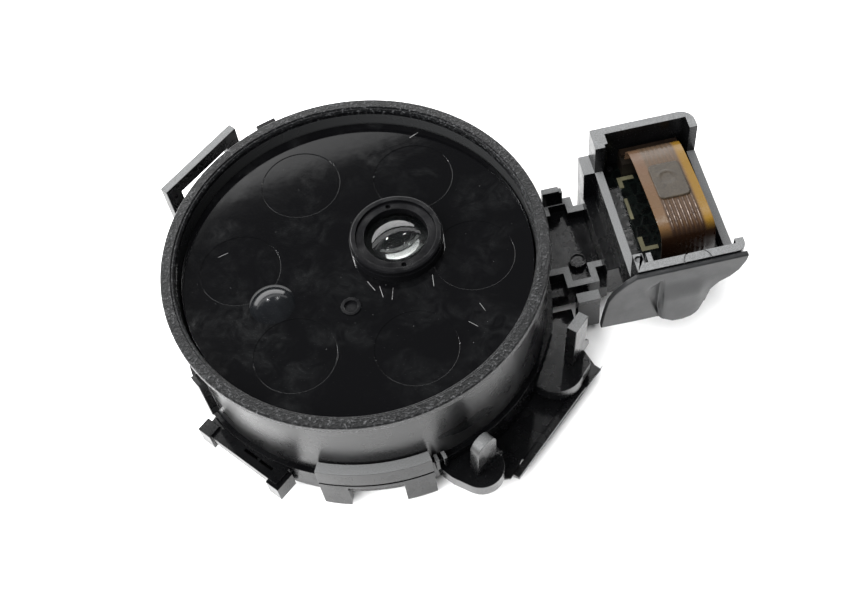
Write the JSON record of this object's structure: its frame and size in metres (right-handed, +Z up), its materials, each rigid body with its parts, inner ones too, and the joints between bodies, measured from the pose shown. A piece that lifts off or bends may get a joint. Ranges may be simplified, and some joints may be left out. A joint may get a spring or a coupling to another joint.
{
  "type": "lidar scanner module",
  "caption": "Round scanning range-finder module with a spinning optical disc in a fixed drum, snap posts, a latch hoop and a side connector box with a folded flex cable.",
  "frame": {"origin": "on the drum axis at the flat resting face", "axes": "+Z up along the spin axis, +X along the side arm towards the connector box, +Y towards the latch hoop's side"},
  "size_m": [0.0968, 0.0739, 0.028],
  "materials": {
    "housing_black": "fine satin mould texture",
    "drum_black": "satin gloss",
    "rim_texture": "spark-eroded grain with a bright edge",
    "box_grey_black": "dull, slightly dusty",
    "disc_gloss": "polished, with smudges and hairlines",
    "barrel_black": "semi-gloss turned steps",
    "lens_glass": "coated and polished",
    "filter_glass": "dark red infrared pass",
    "dome_black": "polished infrared-pass plastic",
    "board_green": "solder mask",
    "board_black": "black-green solder mask",
    "pad_gold": "gold flash",
    "flex_amber": "translucent amber polyimide over copper",
    "stiffener_grey": "glossy grey-brown",
    "connector_ivory": "moulded",
    "latch_brown": "moulded",
    "chip_black": "epoxy",
    "led_clear": "clear epoxy",
    "screw_steel": "zinc plated",
    "bearing_steel": "ground",
    "ball_chrome": "polished",
    "cage_brass": "stamped",
    "tube_brass": "turned",
    "lamination_steel": "stacked laminations",
    "coil_copper": "enamelled copper wire",
    "ferrite_grey": "sintered",
    "magnet_grey": "nickel over ferrite"
  },
  "bodies": {
    "base": {"lower_housing": "housing_black", "drum_housing": "drum_black", "rim_ring": "rim_texture", "rear_latch_hoop": "housing_black", "post_bracket": "housing_black", "side_arm_tray": "housing_black", "connector_box": "box_grey_black", "box_front_cover": "box_grey_black", "interface_pcb": "board_black", "interface_pads": "pad_gold", "flex_cable": "flex_amber", "flex_stiffener": "stiffener_grey", "rear_flex_connector": "connector_ivory", "main_flex_connector": "connector_ivory", "main_pcb": "board_green", "main_pcb_chips": "chip_black", "board_screws": "screw_steel", "arm_screws": "screw_steel", "bearing_tube": "tube_brass", "motor_screws": "screw_steel", "stator_core": "lamination_steel", "stator_coils": "coil_copper", "bearing_outer_races": "bearing_steel", "coil_stand": "chip_black", "transmit_ferrite": "ferrite_grey", "transmit_coil": "coil_copper", "photo_interrupter": "chip_black", "data_photodiode": "chip_black"},
    "rotor": {"scan_disc": "disc_gloss", "lens_barrel": "barrel_black", "receiver_lens": "lens_glass", "lens_retainer": "barrel_black", "infrared_filter": "filter_glass", "emitter_dome": "dome_black", "laser_holder": "tube_brass", "laser_diode": "tube_brass", "collimator_lens": "lens_glass", "index_plug": "barrel_black", "rotor_frame": "housing_black", "rotor_screws": "screw_steel", "rotor_pcb": "board_green", "rotor_pcb_chips": "chip_black", "receiver_sensor": "chip_black", "data_led": "led_clear", "receive_ferrite": "ferrite_grey", "receive_coil": "coil_copper", "encoder_ring": "housing_black", "balance_weights": "tube_brass", "rotor_cup": "lamination_steel", "magnet_ring": "magnet_grey", "motor_shaft": "bearing_steel", "shaft_clip": "screw_steel", "bearing_inner_races": "bearing_steel"},
    "lower_ball_set": {"lower_cage": "cage_brass", "lower_balls": "ball_chrome"},
    "upper_ball_set": {"upper_cage": "cage_brass", "upper_balls": "ball_chrome"},
    "rear_latch": {"rear_connector_latch": "latch_brown"},
    "main_latch": {"main_connector_latch": "latch_brown"}
  },
  "joints": [
    {"name": "rotor_spin", "type": "hinge", "parent": "base", "child": "rotor", "pos_m": [0, 0, 0.0162], "axis": [0, 0, 1], "continuous": true},
    {"name": "lower_ball_roll", "type": "hinge", "parent": "base", "child": "lower_ball_set", "pos_m": [0, 0, 0.0076], "axis": [0, 0, 1], "continuous": true},
    {"name": "upper_ball_roll", "type": "hinge", "parent": "base", "child": "upper_ball_set", "pos_m": [0, 0, 0.0122], "axis": [0, 0, 1], "continuous": true},
    {"name": "rear_latch_flip", "type": "hinge", "parent": "base", "child": "rear_latch", "pos_m": [0.05535, 0.0139, 0.02075], "axis": [1, 0, 0], "range_deg": [-90, 0]},
    {"name": "main_latch_flip", "type": "hinge", "parent": "base", "child": "main_latch", "pos_m": [0.0242, 0.00145, 0.0056], "axis": [0, 1, 0], "range_deg": [-90, 0]}
  ],
  "couplings": [
    {"joint": "lower_ball_roll", "follows": "rotor_spin", "ratio": 0.39286},
    {"joint": "upper_ball_roll", "follows": "rotor_spin", "ratio": 0.39286}
  ]
}
